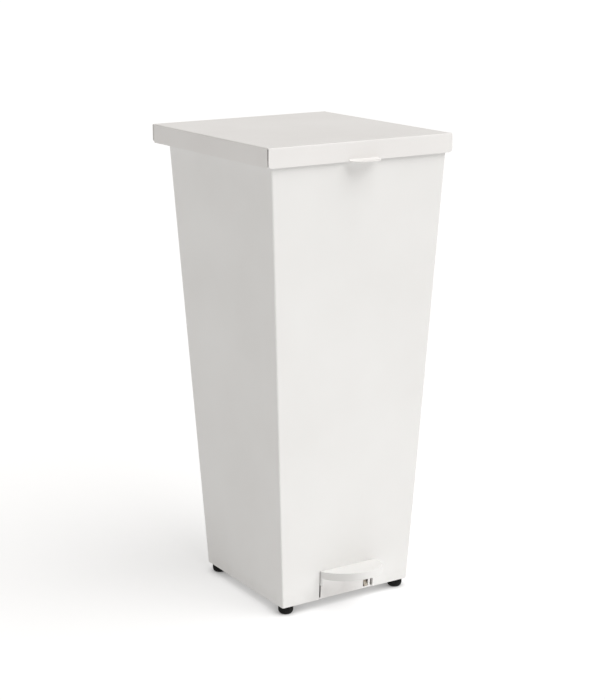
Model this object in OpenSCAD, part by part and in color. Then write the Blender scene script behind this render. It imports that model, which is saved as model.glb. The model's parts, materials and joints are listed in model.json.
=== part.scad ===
// Pedal bin: a tapered sheet-steel bin whose lid is lifted by a foot pedal.
// Millimetres. +Z is up, -Y is the pedal side, +X is the right hand facing the pedal.
// Pieces are drawn about the middle of the body and then moved so that the origin
// lies on the floor under the middle of the whole bin.

/* [Body] */
// Height of the sheet body, from its bottom edge to its rim
body_h = 662; // [520:1:820]
// Width and depth of the body at its bottom edge
body_w = 218; // [190:1:290]
// How far each wall leans outward, in degrees
wall_lean = 3.04; // [2:0.01:4]
// Thickness of the body and lid sheet
sheet_t = 1.2; // [0.8:0.1:2]
// Outside radius of the folded corners at the bottom edge
fold_r = 2.2; // [1.5:0.1:6]
// Width of the inward flange round the rim
rim_flange = 10; // [8:0.5:16]
// Depth of the lip turned down from the rim flange
rim_lip = 8; // [5:0.5:14]

/* [Pedal window] */
// Width of the window in the front wall, which is open at the body's bottom edge
window_w = 94; // [80:1:120]
// Height of the window above the body's bottom edge
window_h = 44.5; // [40:0.5:62]
// Strip of the window plate left under the slots for the pedal's arms
slot_sill = 2; // [1.5:0.5:6]
// Gap between each arm and the inner side of its slot
arm_gap = 1.2; // [0.8:0.1:3]

/* [Base] */
// Height of the feet
foot_h = 13; // [8:1:30]
// Diameter of the feet
foot_d = 22; // [16:1:34]
// Distance of each foot's centre from the body's outer faces
foot_inset = 13; // [12:0.5:20]
// Thickness of the base tray and the bucket shelf
tray_t = 1.5; // [1:0.1:3]
// Height of the base tray's side and rear flanges
tray_h = 30; // [16:1:40]
// Gap between the base tray and the body walls
tray_gap = 0.4; // [0.2:0.1:1]
// Height of the bucket shelf above the body's bottom edge
shelf_h = 57; // [54:1:80]

/* [Lid] */
// Overhang of the lid past each side wall at the rim
lid_side = 5.8; // [4:0.1:12]
// Overhang of the lid past the front wall at the rim
lid_front = 3.8; // [3:0.1:10]
// Overhang of the lid past the rear wall at the rim
lid_rear = 35.8; // [34:0.1:50]
// Height of the lid's skirts
skirt_h = 27; // [20:0.5:28]
// Radius of the skirts' lower corners
skirt_r = 5; // [2:0.5:8]
// Open gap at each corner between neighbouring skirts
skirt_slit = 4.8; // [2:0.1:8]
// Gap between the rim and the underside of the lid
lid_gap = 4.8; // [4:0.1:8]
// Half the width of the lift tab
tab_hw = 24; // [16:1:40]
// Projection of the lift tab
tab_out = 18; // [12:0.5:26]
// Angle through which the lid opens
lid_open = 75; // [50:1:80]

/* [Hinge and rod] */
// Distance of the hinge axis behind the rear wall
hinge_out = 22.3; // [21:0.1:30]
// Depth of the hinge axis below the top of the lid
hinge_drop = 16; // [14:0.5:20]
// Diameter of the hinge pins
hinge_pin_d = 5; // [4:0.5:8]
// Distance of each hinge from the middle of the bin
hinge_x = 95; // [70:1:110]
// Distance of the push rod's centre behind the rear wall
rod_out = 9.5; // [9:0.1:11]
// Diameter of the push rod
rod_d = 6; // [5:0.5:7]
// Diameter of the pin at the top of the push rod
top_pin_d = 4; // [3:0.5:5]
// Diameter of the pin at the bottom of the push rod
low_pin_d = 5; // [4:0.5:6]
// Inside depth of the rear channel
channel_in = 18.5; // [18:0.5:24]

/* [Pedal] */
// Half the width of the tread, over its lip
tread_hw = 46; // [40:0.5:52]
// Length of the tread from the wall to its tip
tread_l = 57.5; // [45:0.5:75]
// Upward tilt of the tread at rest, in degrees
tread_tilt = 10; // [0:0.1:14]
// Depth of the tread's turned-down lip
tread_lip = 10.8; // [8:0.1:16]
// Thickness of the pedal sheet
pedal_t = 1.5; // [1:0.1:2.5]
// Height of the pedal's side arms at the wall
arm_h = 22; // [14:0.5:24]
// Diameter of the pedal axle
axle_d = 8; // [6:0.5:10]
// Height of the pedal axle above the body's bottom edge
axle_h = 28; // [27:0.5:30]
// Thickness of the lever bar
lever_t = 6; // [4:0.5:8]

/* [Bucket] */
// Height of the inner bucket
bucket_h = 572; // [430:1:700]
// Thickness of the bucket's wall
bucket_t = 1.8; // [1.2:0.1:3]
// Gap between the bucket's bead and the rim lip, which it lifts out through
bucket_gap = 1.7; // [1:0.1:6]
// Half the width of the bucket's bottom
bucket_foot = 98; // [80:1:102]
// Diameter of the bail wire
bail_d = 4; // [3:0.5:6]
// Diameter of the bail's grip
grip_d = 10; // [7:0.5:14]
// Height that the bucket can rise under the closed lid
bucket_lift = 12; // [4:1:16]
// Angle that the bail can swing under the closed lid
bail_turn = 15; // [5:1:20]

/* [Fits] */
// Radial clearance of a turning or sliding fit
run_gap = 0.06; // [0.02:0.01:0.1]
// Side clearance between neighbouring moving pieces
side_gap = 1; // [0.5:0.1:2]
// Clearance round a pin in its slot
slot_gap = 0.3; // [0.2:0.05:0.6]

/* [Hidden] */
$fn = 48;

paint = [0.93, 0.93, 0.92];
zinc = [0.72, 0.73, 0.74];
black = [0.08, 0.08, 0.08];
cream = [0.86, 0.82, 0.74];
grey = [0.45, 0.46, 0.47];

// Body
lean = tan(wall_lean);
body_top = foot_h + body_h;
// Numbers that meeting pieces share are kept to 0.01 mm, so that their faces agree
function snap(v) = round(v * 100) / 100;
function half_at(z) = body_w / 2 + (z - foot_h) * lean;
rim_half = half_at(body_top);
mouth_half = rim_half - rim_flange;
window_top = foot_h + window_h;
slot_z = foot_h + slot_sill;
tray_inset = sheet_t + tray_gap;
plate_h = window_h + 3;
foot_p = body_w / 2 - foot_inset;

// Shelf: a plate on two side walls
shelf_z = foot_h + shelf_h;
shelf_hw = body_w / 2 - 9;
shelf_hd = shelf_hw - 16;
shelf_foot = 14;

// Lid
lid_top = body_top + lid_gap + sheet_t;
lid_hw = rim_half + lid_side;
lid_y0 = -rim_half - lid_front;
lid_y1 = rim_half + lid_rear;
skirt_z = lid_top - skirt_h;
buffer_r = 4;

// Hinge axis, in the frame of the rear wall (out from it, up along it) and in the bin
hinge_z = lid_top - hinge_drop;
hinge_y = body_w / 2 + (hinge_z - foot_h) * lean + hinge_out / cos(wall_lean);
hinge_up = (hinge_y - body_w / 2) * sin(wall_lean) + (hinge_z - foot_h) * cos(wall_lean);

// Push rod: its top pin is on a radius of the hinge, half the lid's angle below square
rod_arm = hinge_out - rod_out;
rod_rise = 2 * rod_arm * tan(lid_open / 2);
top_pin_up = hinge_up - rod_rise / 2;
pin_reach = rod_arm / cos(lid_open / 2);
quarter = lid_open / 4;
pin_drift = pin_reach * sin(abs(atan(tan(lid_open / 2) / 2) - quarter));

// Pedal lever: its rear pin swings equally below and above the axle
axle_z = foot_h + axle_h;
low_pin_z = axle_z - rod_rise * cos(wall_lean) / 2;
function rod_y(z) = half_at(z) + rod_out / cos(wall_lean);
low_pin_y = rod_y(low_pin_z);
low_pin_up = (low_pin_y - body_w / 2) * sin(wall_lean) + (low_pin_z - foot_h) * cos(wall_lean);
lever_dip = atan((axle_z - low_pin_z) / low_pin_y);
lever_near = norm([low_pin_y, axle_z - low_pin_z]) - slot_gap;
high_pin_z = low_pin_z + rod_rise * cos(wall_lean);
lever_far = norm([rod_y(high_pin_z), high_pin_z - axle_z]) + slot_gap;
lever_turn = lever_dip + atan((high_pin_z - axle_z) / rod_y(high_pin_z));

// Tread and arms
tread_z = window_top + 0.1;
tread_back = 0.5;
// The lip stands this much proud of the arms on both sides, so that no two faces share a plane
lip_step = 0.1;
tread_y = -half_at(tread_z) - side_gap - tread_back;
arm_drop = tread_z - slot_z - side_gap - half_at(tread_z) * sin(lever_turn);
arm_depth = min(arm_h, arm_drop);
arm_x = tread_hw - pedal_t;
yoke_x = arm_x - pedal_t;
boss_r = axle_d / 2 + 7;
bush_r = axle_d / 2 + 2;
slot_w = window_w / 2 - (arm_x - arm_gap);
bush_flange = 1.5;
bracket_x = tread_hw + bush_flange + side_gap;
bracket_t = tray_t;
web_front = -half_at(foot_h) + 14;
guide_end = web_front - 2;
web_l = 25;
web_z = axle_z + boss_r - 1;
web_t = 2;
pivot_foot = 18;
pivot_hd = 16;
axle_end = bracket_x + bracket_t + 4;

// Pedal stop, under the web where it is with the pedal right down
stop_x = 36.7;
stop_w = 6;
stop_hole = 9;
stop_toe = -half_at(foot_h) + tray_inset + 0.2;
web_low_z = axle_z + (web_z - axle_z) * cos(lever_turn) + web_front * sin(lever_turn);
stop_top = web_low_z - slot_gap;

// Bucket
bead_w = 2.5;
bead_h = 6;
bucket_top = shelf_z + tray_t + bucket_h;
bucket_bottom = shelf_z + tray_t;
bucket_half = mouth_half - sheet_t - bucket_gap - bead_w;
bucket_low = min(bucket_foot, half_at(shelf_z) - sheet_t - 2);
function bucket_at(z) = bucket_low + (bucket_half - bucket_low) * (z - bucket_bottom) / bucket_h;

// Bail: its pivots are low enough for it to swing and lift under the closed lid
bail_rise = (bucket_half - 10) * sin(bail_turn) + grip_d / 2 + bucket_lift + 0.5;
bail_drop = max(12, bail_rise - (lid_top - sheet_t - bucket_top));
bail_z = snap(bucket_top - bail_drop);
bail_x = snap(bucket_at(bail_z) - bucket_t - 1.6 - bail_d / 2);
bail_reach = bail_x - grip_d / 2 + bail_d / 2 - 1;
bail_bend = 18;
bail_cap_t = 1.2;
grip_l = 96;

// Bin centre: the middle between the pedal's tip and the lid's rear edge
tread_tip = tread_y - tread_l * cos(tread_tilt) - tread_lip * sin(tread_tilt);
shift_y = -(tread_tip + lid_y1) / 2;

rivet_r = 2;
foot_screw_r = 2;
foot_hole_r = foot_screw_r + 0.1;
channel_hw = 12.2;
channel_flange = 12;
channel_top = hinge_up - 27;
channel_rows = [0.06, 0.35, 0.64, 0.94];
ear_t = 2;
ear_out = 13;
lid_ear_out = ear_out - ear_t - 2 * side_gap;
hinge_rivets = [18, 38];
pin_over = 3;

// Rod guides, eye, lug and clevis
guide_ups = [0.22 * channel_top, 0.86 * channel_top];
guide_peg_x = 7;
eye_t = 8;
eye_r = 6;
lug_x = eye_t / 2 + 1.5 + ear_t;
lug_slot_r = top_pin_d / 2 + slot_gap + pin_drift;
clevis_t = 3;
clevis_r = 5.5;
clevis_x = lever_t / 2 + side_gap + clevis_t;
clevis_up = low_pin_up + 14;

// ---- Shared shapes -------------------------------------------------------------

module placed() {
    translate([0, shift_y, 0]) children();
}

module on_side(side) {
    mirror([side < 0 ? 1 : 0, 0, 0]) children();
}

// Frame of the rear wall's outer face: +Y out of the wall, +Z up along it
module on_rear_wall() {
    translate([0, body_w / 2, foot_h]) rotate([-wall_lean, 0, 0]) children();
}

module rounded_square(half, r) {
    offset(r = r, $fn = 24) square(2 * (half - r), center = true);
}

// Square block that follows the walls' lean, set in by inset from their outer faces
module tapered_block(inset, z0, z1, r) {
    low = half_at(z0) - inset;
    high = half_at(z1) - inset;
    translate([0, 0, z0])
        linear_extrude(height = z1 - z0, scale = high / low) rounded_square(low, r);
}

// Square block between two half widths
module bucket_block(low, high, h, r) {
    linear_extrude(height = h, scale = high / low) rounded_square(low, r);
}

// Panel in the XZ plane with two rounded lower corners, its top edge at z = h
module skirt_panel(w, h, r) {
    x = w / 2 - r;
    rotate([90, 0, 0]) linear_extrude(height = sheet_t) polygon(concat(
        [[-w / 2, h]],
        [for (a = [180:15:270]) [-x + r * cos(a), r + r * sin(a)]],
        [for (a = [270:15:360]) [x + r * cos(a), r + r * sin(a)]],
        [[w / 2, h]]
    ));
}

// Domed rivet: the face that its head sits on is z = 0, and its tail is below grip
module rivet(grip, r = rivet_r) {
    head_r = 2 * r;
    rotate_extrude() polygon([
        [0, -grip - 1.4], [1.4 * r, -grip - 1.4], [1.6 * r, -grip - 0.8], [1.6 * r, -grip],
        [r, -grip], [r, 0], [head_r, 0], [0.92 * head_r, 0.6], [0.6 * head_r, 1.2],
        [0.3 * head_r, 1.4], [0, 1.4]
    ]);
}

// Split ring that snaps into a pin's groove
module e_clip(r_in, r_out, t) {
    difference() {
        cylinder(h = t, r = r_out);
        translate([0, 0, -1]) cylinder(h = t + 2, r = r_in);
        translate([0, -r_in * 0.7, -1]) cube([r_out + 1, 1.4 * r_in, t + 2]);
    }
}

// Axis along X, starting at x
module along_x(x) {
    translate([x, 0, 0]) rotate([0, 90, 0]) children();
}

// ---- Body, base and shelf ---------------------------------------------------------

module channel_rivet_places() {
    for (s = [-1, 1]) for (k = channel_rows)
        translate([s * (channel_hw + channel_flange / 2), 0, k * channel_top])
            rotate([-90, 0, 0]) children();
}

module hinge_rivet_places() {
    for (s = [-1, 1]) for (drop = hinge_rivets)
        translate([s * hinge_x, 0, hinge_up - drop]) rotate([-90, 0, 0]) children();
}

// Slot in the rear wall and in the tray's rear flange for the lever bar's swing
module lever_slot() {
    on_rear_wall() translate([-lever_t / 2 - 2 * side_gap, -8, low_pin_up - 12])
        cube([lever_t + 4 * side_gap, 12, rod_rise + 24]);
}

module body_shell() {
    color(paint) difference() {
        union() {
            difference() {
                tapered_block(0, foot_h, body_top, fold_r);
                tapered_block(sheet_t, foot_h - 1, body_top + 1, fold_r - sheet_t);
            }
            difference() {
                tapered_block(sheet_t / 2, body_top - sheet_t, body_top, fold_r);
                translate([0, 0, body_top - sheet_t - 1])
                    linear_extrude(height = sheet_t + 2) rounded_square(mouth_half - sheet_t, fold_r + 3);
            }
            translate([0, 0, body_top - rim_lip]) linear_extrude(height = rim_lip) difference() {
                rounded_square(mouth_half, fold_r + 3 + sheet_t);
                rounded_square(mouth_half - sheet_t, fold_r + 3);
            }
        }
        translate([-window_w / 2, -half_at(body_top), foot_h - 1])
            cube([window_w, half_at(body_top) - body_w / 2 + 6, window_h + 1]);
        lever_slot();
        on_rear_wall() {
            channel_rivet_places() translate([0, 0, -3]) cylinder(h = 6, r = rivet_r);
            hinge_rivet_places() translate([0, 0, -3]) cylinder(h = 6, r = rivet_r);
            for (u = guide_ups) for (s = [-1, 1]) translate([s * guide_peg_x, -3, u])
                rotate([-90, 0, 0]) cylinder(h = 6, r = rivet_r);
        }
    }
}

module foot_places() {
    for (sx = [-1, 1]) for (sy = [-1, 1]) translate([sx * foot_p, sy * foot_p, 0]) children();
}

module tray_rivet_places() {
    floor_z = foot_h + tray_t;
    for (s = [-1, 1]) {
        for (y = [-1, 1]) translate([s * (bracket_x + bracket_t + pivot_foot / 2), y * 9, floor_z])
            children();
        for (y = [-1, 1])
            translate([s * (shelf_hw - tray_t - shelf_foot / 2), y * (shelf_hd - 20), floor_z])
                children();
    }
}

// Flange that runs back from the window plate, outside an arm's slot
module arm_guide() {
    z1 = foot_h + plate_h;
    in_plate = tray_inset + tray_t - 0.3;
    rotate([90, 0, 90]) linear_extrude(height = tray_t) polygon([
        [-half_at(slot_z) + in_plate, slot_z], [-half_at(z1) + in_plate, z1],
        [guide_end, z1], [guide_end, slot_z]
    ]);
}

module base_tray() {
    front_y = half_at(foot_h) - tray_inset - tray_t;
    color(paint) for (s = [-1, 1]) on_side(s) translate([window_w / 2, 0, 0]) arm_guide();
    color(paint) difference() {
        tapered_block(tray_inset, foot_h, foot_h + plate_h, fold_r);
        tapered_block(tray_inset + tray_t, foot_h + tray_t, foot_h + plate_h + 1, fold_r);
        translate([-body_w, -front_y, foot_h + tray_h]) cube([2 * body_w, 2 * body_w, plate_h]);
        // Slots that the pedal's side arms pass through
        for (s = [-1, 1]) on_side(s) translate([arm_x - arm_gap, -body_w / 2 - 10, slot_z])
            cube([slot_w, 14, window_top - slot_z + 1.5]);
        lever_slot();
        // Hole in front of the pedal stop
        translate([stop_x + stop_w / 2 + 0.3 - stop_hole, -body_w / 2 - 10, slot_z])
            cube([stop_hole, 14, 18]);
        foot_places() cylinder(h = 3 * foot_h, r = foot_hole_r);
        tray_rivet_places() translate([0, 0, -5]) cylinder(h = 10, r = rivet_r);
    }
}

module bucket_shelf() {
    floor_z = foot_h + tray_t;
    color(zinc) difference() {
        union() {
            translate([-shelf_hw, -shelf_hw, shelf_z]) cube([2 * shelf_hw, 2 * shelf_hw, tray_t]);
            for (s = [-1, 1]) on_side(s) {
                translate([shelf_hw - tray_t, -shelf_hd, floor_z])
                    cube([tray_t, 2 * shelf_hd, shelf_z - floor_z + 0.1]);
                translate([shelf_hw - shelf_foot - tray_t / 2, -shelf_hd, floor_z])
                    cube([shelf_foot, 2 * shelf_hd, tray_t]);
            }
        }
        tray_rivet_places() translate([0, 0, -5]) cylinder(h = 10, r = rivet_r);
    }
}

// Ribbed bowl-shaped foot with a counterbored screw hole
module foot(sx, sy) {
    r = foot_d / 2;
    ribs = 24;
    color(black) translate([sx * foot_p, sy * foot_p, 0]) difference() {
        rotate_extrude() polygon(concat(
            [[foot_hole_r, foot_h], [foot_hole_r, 4], [4, 4], [4, 0]],
            [for (a = [0:15:90]) [r - 4.5 + 4.5 * sin(a), 6 - 6 * cos(a)]],
            [[r, foot_h]]
        ));
        for (k = [0:ribs - 1]) rotate([0, 0, k * 360 / ribs]) translate([r + 0.35, 0, -1])
            cylinder(h = foot_h + 2, r = 0.8, $fn = 16);
    }
}

module foot_screws() {
    color(zinc) foot_places() {
        translate([0, 0, 1.2]) cylinder(h = 2.8, r = 3.8);
        translate([0, 0, 3.9]) cylinder(h = foot_h + tray_t + 1.1, r = foot_screw_r);
    }
}

module foot_nuts() {
    color(zinc) foot_places() translate([0, 0, foot_h + tray_t]) difference() {
        union() {
            cylinder(h = 3.2, r = 4, $fn = 6);
            cylinder(h = 0.8, r = 5);
        }
        translate([0, 0, -1]) cylinder(h = 6, r = foot_screw_r);
    }
}

// ---- Rear channel, rod guides and hinge brackets ---------------------------------------

module rear_channel() {
    d = channel_in + sheet_t;
    w = channel_hw;
    f = w + channel_flange;
    t = sheet_t;
    color(paint) on_rear_wall() difference() {
        linear_extrude(height = channel_top) polygon([
            [-f, 0], [-f, t], [-w, t], [-w, d], [w, d], [w, t], [f, t], [f, 0],
            [w - t, 0], [w - t, d - t], [t - w, d - t], [t - w, 0]
        ]);
        channel_rivet_places() translate([0, 0, -1]) cylinder(h = 4, r = rivet_r);
    }
}

// Nylon block with two pegs in the wall and a bore for the rod
module rod_guide(up) {
    h = 14;
    color(cream) on_rear_wall() translate([0, 0, up]) difference() {
        union() {
            translate([-10, 0, -h / 2]) cube([20, rod_out + rod_d / 2 + 3, h]);
            for (s = [-1, 1]) translate([s * guide_peg_x, -2.5, 0]) rotate([-90, 0, 0])
                cylinder(h = 3, r = rivet_r);
        }
        translate([0, rod_out, -h]) cylinder(h = 2 * h, r = rod_d / 2 + run_gap);
    }
}

// Folded bracket on the rear wall with two ears that carry the hinge pin
module hinge_bracket(side) {
    r = hinge_pin_d / 2 + 4.5;
    base_low = hinge_up - 48;
    base_high = hinge_up - 8;
    color(zinc) on_side(side) on_rear_wall() difference() {
        union() {
            translate([hinge_x - ear_out, 0, base_low])
                cube([2 * ear_out, ear_t, base_high - base_low]);
            for (x = [-ear_out, ear_out - ear_t]) translate([hinge_x + x, 0, 0])
                rotate([90, 0, 90]) linear_extrude(height = ear_t) union() {
                    translate([hinge_out, hinge_up]) circle(r);
                    polygon([
                        [0, base_low], [0, base_high + 4], [8, hinge_up + r - 2],
                        [hinge_out, hinge_up + r], [hinge_out - 4, hinge_up - 5.5],
                        [hinge_out - 10, hinge_up - 12], [7, base_low + 6]
                    ]);
                }
        }
        translate([hinge_x, hinge_out, hinge_up]) rotate([0, 90, 0])
            cylinder(h = 4 * ear_out, r = hinge_pin_d / 2, center = true);
        for (drop = hinge_rivets) translate([hinge_x, -1, hinge_up - drop]) rotate([-90, 0, 0])
            cylinder(h = 6, r = rivet_r);
    }
}

module hinge_pin(side) {
    x0 = hinge_x - ear_out;
    color(zinc) on_side(side) translate([0, hinge_y, hinge_z]) {
        along_x(x0 - 1.6) cylinder(h = 1.6, r = hinge_pin_d / 2 + 1.8);
        difference() {
            along_x(x0 - 0.1) cylinder(h = 2 * ear_out + pin_over, r = hinge_pin_d / 2);
            along_x(hinge_x + ear_out + 0.4) difference() {
                cylinder(h = 1, r = hinge_pin_d);
                translate([0, 0, -1]) cylinder(h = 3, r = hinge_pin_d / 2 - 0.5);
            }
        }
    }
}

module hinge_clips() {
    color(zinc) for (s = [-1, 1]) on_side(s) translate([0, hinge_y, hinge_z])
        along_x(hinge_x + ear_out + 0.4) e_clip(hinge_pin_d / 2 - 0.5, hinge_pin_d / 2 + 2.2, 1);
}

module wall_rivets() {
    color(zinc) on_rear_wall() {
        channel_rivet_places() translate([0, 0, sheet_t]) rivet(2 * sheet_t);
        hinge_rivet_places() translate([0, 0, ear_t]) rivet(ear_t + sheet_t);
    }
}

// ---- Pedal carriers fixed to the base tray ----------------------------------------------

module pivot_bracket(side) {
    floor_z = foot_h + tray_t;
    color(zinc) on_side(side) difference() {
        union() {
            translate([bracket_x, 0, 0]) rotate([90, 0, 90]) linear_extrude(height = bracket_t) union() {
                translate([0, axle_z]) circle(boss_r);
                polygon([
                    [-pivot_hd, floor_z], [-pivot_hd, floor_z + 6], [-boss_r, axle_z],
                    [boss_r, axle_z], [pivot_hd, floor_z + 6], [pivot_hd, floor_z]
                ]);
            }
            translate([bracket_x, -pivot_hd, floor_z])
                cube([bracket_t + pivot_foot, 2 * pivot_hd, bracket_t]);
        }
        translate([0, 0, axle_z]) along_x(bracket_x - 1) cylinder(h = 4, r = axle_d / 2);
        tray_rivet_places() translate([0, 0, -5]) cylinder(h = 10, r = rivet_r);
    }
}

module pedal_axle() {
    color(zinc) translate([0, 0, axle_z]) difference() {
        along_x(-axle_end) cylinder(h = 2 * axle_end, r = axle_d / 2);
        for (s = [-1, 1]) on_side(s) along_x(bracket_x + bracket_t + 0.4) difference() {
            cylinder(h = 1, r = axle_d);
            translate([0, 0, -1]) cylinder(h = 3, r = axle_d / 2 - 0.7);
        }
    }
}

module axle_clips() {
    color(zinc) translate([0, 0, axle_z]) for (s = [-1, 1]) on_side(s)
        along_x(bracket_x + bracket_t + 0.4) e_clip(axle_d / 2 - 0.7, axle_d / 2 + 3, 1);
}

// Nylon block whose sloping toe comes forward into the hole in the window plate
module pedal_stop() {
    z0 = foot_h + tray_t;
    y0 = web_front - 3;
    y1 = web_front + 10;
    y2 = stop_toe + tray_t;
    z2 = slot_z + 0.2;
    color(cream) translate([stop_x - stop_w / 2, 0, 0]) rotate([90, 0, 90])
    linear_extrude(height = stop_w) difference() {
        polygon([
            [y2, z0], [y2, z2], [stop_toe, z2], [stop_toe, z2 + 1.5],
            [y0, z0 + 16], [y0, stop_top], [y1, stop_top], [y1, z0]
        ]);
        translate([web_front + 3, z0 + 6]) square([4, 3]);
    }
}

module tray_rivets() {
    color(zinc) tray_rivet_places() translate([0, 0, tray_t]) rivet(2 * tray_t);
}

// ---- Lid ----------------------------------------------------------------------------------

module lid_shell() {
    l = lid_y1 - lid_y0;
    side_l = l - 2 * (sheet_t + skirt_slit);
    color(paint) union() {
        translate([-lid_hw, lid_y0, lid_top - sheet_t]) cube([2 * lid_hw, l, sheet_t]);
        translate([0, lid_y0 + sheet_t, skirt_z]) skirt_panel(2 * lid_hw, skirt_h, skirt_r);
        translate([0, lid_y1, skirt_z]) skirt_panel(2 * lid_hw, skirt_h, skirt_r);
        for (s = [-1, 1]) translate([s * (lid_hw - sheet_t / 2), lid_y0 + l / 2, skirt_z])
            rotate([0, 0, 90]) translate([0, sheet_t / 2, 0]) skirt_panel(side_l, skirt_h, 1);
        translate([0, lid_y0, skirt_z]) linear_extrude(height = sheet_t) intersection() {
            offset(r = tab_out - 1) square([2 * (tab_hw - tab_out + 1), 2], center = true);
            translate([-tab_hw, -tab_out]) square([2 * tab_hw, tab_out + sheet_t / 2]);
        }
    }
}

// Folded bracket under the lid that turns on the hinge pin
module lid_bracket(side) {
    r = hinge_pin_d / 2 + 4;
    x = lid_ear_out;
    up = lid_top - sheet_t - hinge_z;
    reach = hinge_y - rim_half;
    color(zinc) on_side(side) translate([hinge_x, hinge_y, hinge_z]) difference() {
        union() {
            translate([-x, -reach - 8, up - ear_t]) cube([2 * x, reach + 16, ear_t]);
            for (e = [-x, x - ear_t]) translate([e, 0, 0])
                rotate([90, 0, 90]) linear_extrude(height = ear_t) union() {
                    circle(r);
                    polygon([[-r, 0], [4 - reach, up - 4], [4 - reach, up], [8, up], [r, 0]]);
                }
        }
        along_x(-2 * x) cylinder(h = 4 * x, r = hinge_pin_d / 2 + run_gap);
    }
}

// Two slotted ears under the lid that the rod's top pin lifts
module lid_lug() {
    up = lid_top - sheet_t - hinge_z;
    reach = pin_reach + top_pin_d / 2 + slot_gap + 2.2;
    color(zinc) translate([0, hinge_y, hinge_z]) difference() {
        union() {
            translate([-lug_x, -reach, up - ear_t]) cube([2 * lug_x, reach - 2, ear_t]);
            for (x = [-lug_x, lug_x - ear_t]) translate([x, 0, 0])
                rotate([90, 0, 90]) linear_extrude(height = ear_t) union() {
                    translate([-reach, 0]) square([reach - 4, up]);
                    intersection() {
                        circle(reach);
                        polygon([[0, 0], [-2 * reach, 0], [-2 * reach, -2 * reach], [-5, -2 * reach]]);
                    }
                }
        }
        rotate([-wall_lean - 180 + lid_open / 2, 0, 0]) {
            translate([-2 * lug_x, rod_arm - slot_gap, -lug_slot_r])
                cube([4 * lug_x, pin_reach - rod_arm + 2 * slot_gap, 2 * lug_slot_r]);
            for (y = [rod_arm - slot_gap, pin_reach + slot_gap - pin_drift]) translate([0, y, 0])
                along_x(-2 * lug_x) cylinder(h = 4 * lug_x, r = lug_slot_r);
        }
    }
}

module lid_buffers() {
    x = rim_half - rim_flange / 2;
    color(black) for (sx = [-1, 1]) for (y = [-rim_half + 24, rim_half * 0.45])
        translate([sx * x, y, body_top + 0.2]) {
            cylinder(h = lid_gap - 0.2, r = buffer_r - 0.8);
            translate([0, 0, 1.2]) cylinder(h = lid_gap - 1.4, r = buffer_r);
        }
}

// ---- Pedal ----------------------------------------------------------------------------------

// Half ellipse with straight sides behind it
function tread_outline(a, b, back) = concat(
    [[a, back]], [for (t = [0:4:180]) [a * cos(t), -b * sin(t)]], [[-a, back]]
);

module arm_profile(y0, z0, h) {
    translate([0, axle_z]) circle(boss_r);
    polygon([[y0, z0], [y0, z0 - h], [0, axle_z - boss_r], [0, axle_z + boss_r]]);
}

// Pressed tread with a turned-down lip that runs back into the two side arms
module pedal_tread() {
    color(paint) difference() {
        union() {
            translate([0, tread_y, tread_z]) rotate([-tread_tilt, 0, 0]) {
                translate([0, 0, -pedal_t]) linear_extrude(height = pedal_t)
                    polygon(tread_outline(tread_hw + lip_step, tread_l, tread_back));
                translate([0, 0, -tread_lip]) linear_extrude(height = tread_lip - 0.1) difference() {
                    polygon(tread_outline(tread_hw + lip_step, tread_l, tread_back));
                    polygon(tread_outline(arm_x - lip_step, tread_l - pedal_t, 3));
                }
            }
            for (s = [-1, 1]) on_side(s) translate([arm_x, 0, 0]) rotate([90, 0, 90])
                linear_extrude(height = pedal_t) arm_profile(tread_y - 2, tread_z - 0.1, arm_depth);
        }
        for (s = [-1, 1]) on_side(s) translate([0, 0, axle_z])
            along_x(arm_x - 1) cylinder(h = pedal_t + 2, r = bush_r);
        yoke_rivet_places() translate([0, 0, -5]) cylinder(h = 10, r = rivet_r);
    }
}

module yoke_rivet_places() {
    for (s = [-1, 1]) on_side(s) for (y = [web_front + 6, web_front + 40])
        translate([tread_hw, y, axle_z + 2]) rotate([0, 90, 0]) children();
}

// Folded yoke that ties the two arms and the lever bar together
module pedal_yoke() {
    color(zinc) difference() {
        union() {
            for (s = [-1, 1]) on_side(s) translate([yoke_x, 0, 0]) rotate([90, 0, 90])
                linear_extrude(height = pedal_t) arm_profile(web_front, web_z + web_t, 12);
            translate([-yoke_x - 0.1, web_front, web_z]) cube([2 * yoke_x + 0.2, web_l, web_t]);
        }
        for (s = [-1, 1]) on_side(s) translate([0, 0, axle_z])
            along_x(yoke_x - 1) cylinder(h = pedal_t + 2, r = bush_r);
        yoke_rivet_places() translate([0, 0, -5]) cylinder(h = 10, r = rivet_r);
    }
}

module yoke_rivets() {
    color(zinc) yoke_rivet_places() rivet(2 * pedal_t, 2);
}

// Flanged nylon bush that turns on the axle
module pedal_bush(side) {
    color(cream) on_side(side) translate([0, 0, axle_z]) along_x(yoke_x - 1.5) difference() {
        union() {
            cylinder(h = tread_hw - yoke_x + 1.5, r = bush_r);
            translate([0, 0, tread_hw - yoke_x + 1.5]) cylinder(h = bush_flange, r = bush_r + 3);
        }
        translate([0, 0, -1]) cylinder(h = 20, r = axle_d / 2 + run_gap);
    }
}

// Flat bar from the yoke's web, over the axle and out through the rear wall
module lever_bar() {
    w = low_pin_d / 2 + slot_gap;
    end_r = w + 3;
    z0 = web_z - axle_z;
    color(zinc) translate([-lever_t / 2, 0, axle_z]) rotate([90, 0, 90]) difference() {
        linear_extrude(height = lever_t) difference() {
            union() {
                hull() {
                    circle(boss_r - 1);
                    translate([web_front, z0 - 10]) square([web_l, 10]);
                }
                hull() {
                    circle(boss_r - 1);
                    rotate(-lever_dip) translate([lever_far - 0.5, 0]) circle(end_r);
                }
            }
            rotate(-lever_dip) {
                translate([lever_near, -w]) square([lever_far - lever_near, 2 * w]);
                for (x = [lever_near, lever_far]) translate([x, 0]) circle(w);
            }
        }
        translate([0, 0, -1]) cylinder(h = lever_t + 2, r = axle_d / 2 + slot_gap);
    }
}

// ---- Push rod --------------------------------------------------------------------------------

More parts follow.
